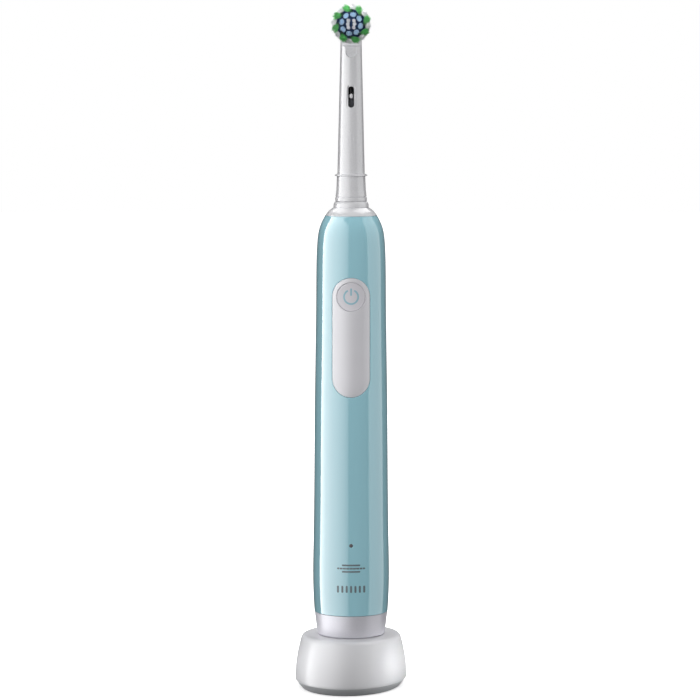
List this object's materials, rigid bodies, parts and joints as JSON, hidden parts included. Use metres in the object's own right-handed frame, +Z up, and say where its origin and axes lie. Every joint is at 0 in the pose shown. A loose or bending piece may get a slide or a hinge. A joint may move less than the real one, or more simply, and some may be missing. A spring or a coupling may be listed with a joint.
{
  "type": "electric toothbrush on charger",
  "caption": "Slim rechargeable toothbrush with a round swinging brush head, standing on the post of its oval charger.",
  "frame": {"origin": "middle of the charger's flat underside, below the handle's axis", "axes": "+Z up along the handle, front of the handle and bristles towards -Y, +X to the right seen from the front"},
  "size_m": [0.0416, 0.0502, 0.2534],
  "materials": {
    "shell_white": "moulded ABS, satin-gloss",
    "plate_grey": "moulded ABS, fine texture",
    "ferrite": "pressed ferrite",
    "former_black": "moulded nylon",
    "copper": "enamelled copper wire",
    "board_green": "glass-epoxy board with solder mask",
    "component_black": "moulded epoxy packages",
    "rubber_dark": "moulded rubber",
    "body_turquoise": "gloss moulded shell",
    "nose_white": "moulded plastic, satin",
    "panel_white": "moulded soft plastic, satin",
    "button_grey": "moulded soft plastic, satin",
    "icon_teal": "printed inlay",
    "light_clear": "polycarbonate light guide",
    "cap_silver": "plastic with silver paint",
    "chassis_grey": "glass-filled nylon",
    "cell_sleeve": "shrink sleeve on a steel can",
    "nickel": "nickel strip, sintered bronze",
    "foam": "closed-cell foam",
    "led_clear": "clear epoxy",
    "switch_black": "moulded plastic",
    "can_steel": "zinc-plated steel",
    "magnet": "ceramic magnet and carbon",
    "shaft_steel": "ground stainless steel",
    "core_steel": "stacked electrical steel",
    "commutator_copper": "brass",
    "gear_white": "acetal",
    "head_white": "moulded plastic, satin",
    "bristle_green": "nylon filament",
    "bristle_white": "nylon filament",
    "bristle_blue": "nylon filament"
  },
  "bodies": {
    "charger": {"charger_shell": "shell_white", "charger_base_plate": "plate_grey", "primary_ferrite_core": "ferrite", "coil_bobbin": "former_black", "primary_coil": "copper", "charger_board": "board_green", "charger_components": "component_black", "cord_gland": "rubber_dark"},
    "handle": {"handle_housing": "body_turquoise", "nose_collar": "nose_white", "shaft_seal": "rubber_dark", "button_panel": "panel_white", "charge_light": "light_clear", "bottom_cap": "cap_silver", "cap_o_ring": "rubber_dark", "coil_carrier": "former_black", "pickup_coil": "copper", "frame_cushion": "rubber_dark", "drive_frame": "chassis_grey", "battery_cell": "cell_sleeve", "battery_tabs": "nickel", "foam_pad": "foam", "circuit_board": "board_green", "board_components": "component_black", "led": "led_clear", "tact_switch": "switch_black", "motor_can": "can_steel", "motor_end_bell": "former_black", "motor_magnets": "magnet", "motor_bushings": "nickel", "motor_brushes": "magnet", "motor_screws": "can_steel", "gear_axle": "shaft_steel", "lower_bearing": "gear_white", "upper_bearing": "gear_white"},
    "button": {"power_button": "button_grey", "button_icon": "icon_teal"},
    "plunger": {"switch_plunger": "switch_black"},
    "rotor": {"motor_shaft": "shaft_steel", "rotor_core": "core_steel", "rotor_windings": "copper", "commutator": "commutator_copper", "pinion": "commutator_copper"},
    "crank": {"crank_gear": "gear_white", "eccentric_pin": "shaft_steel"},
    "rod": {"connecting_rod": "gear_white"},
    "shaft": {"rocker_arm": "gear_white", "rocker_pin": "shaft_steel", "drive_shaft": "shaft_steel"},
    "brush_head": {"neck": "head_white", "id_ring": "head_white", "disc_axle": "shaft_steel"},
    "ram": {"ram_socket": "gear_white", "ram_shaft": "shaft_steel"},
    "disc": {"bristle_disc": "head_white", "green_tufts": "bristle_green", "white_tufts": "bristle_white", "blue_tufts": "bristle_blue", "centre_tufts": "bristle_white"}
  },
  "joints": [
    {"name": "handle_lift", "type": "slide", "parent": "charger", "child": "handle", "axis": [0, 0, 1], "range_m": [0, 0.028]},
    {"name": "head_pull", "type": "slide", "parent": "handle", "child": "brush_head", "axis": [0, 0, 1], "range_m": [0, 0.026]},
    {"name": "button_press", "type": "slide", "parent": "handle", "child": "button", "axis": [0, 1, 0], "range_m": [0, 0.0004], "stiffness_N_per_m": 2000},
    {"name": "plunger_press", "type": "slide", "parent": "handle", "child": "plunger", "axis": [0, 1, 0], "range_m": [0, 0.0004]},
    {"name": "motor_spin", "type": "hinge", "parent": "handle", "child": "rotor", "pos_m": [0, 0, 0.1132], "axis": [0, 0, 1], "continuous": true},
    {"name": "gear_spin", "type": "hinge", "parent": "handle", "child": "crank", "pos_m": [-0.00371, 0.00371, 0.1408], "axis": [0, 0, 1], "continuous": true},
    {"name": "rod_swivel", "type": "hinge", "parent": "crank", "child": "rod", "pos_m": [-0.00214, 0.00371, 0.1442], "axis": [0, 0, 1], "continuous": true},
    {"name": "shaft_swing", "type": "hinge", "parent": "handle", "child": "shaft", "pos_m": [0, 0, 0.1466], "axis": [0, 0, 1], "range_deg": [-20, 20]},
    {"name": "ram_swing", "type": "hinge", "parent": "brush_head", "child": "ram", "pos_m": [0, 0, 0.18845], "axis": [0, 0, 1], "range_deg": [-20, 20]},
    {"name": "disc_swing", "type": "hinge", "parent": "brush_head", "child": "disc", "pos_m": [0, -0.0022, 0.2464], "axis": [0, 1, 0], "range_deg": [-22.5, 22.5]}
  ],
  "couplings": [
    {"joint": "plunger_press", "follows": "button_press", "ratio": 1},
    {"joint": "gear_spin", "follows": "motor_spin", "ratio": -0.5},
    {"joint": "rod_swivel", "follows": "motor_spin", "ratio": 0.5},
    {"joint": "ram_swing", "follows": "shaft_swing", "ratio": 1},
    {"joint": "disc_swing", "follows": "shaft_swing", "ratio": -1.125}
  ]
}
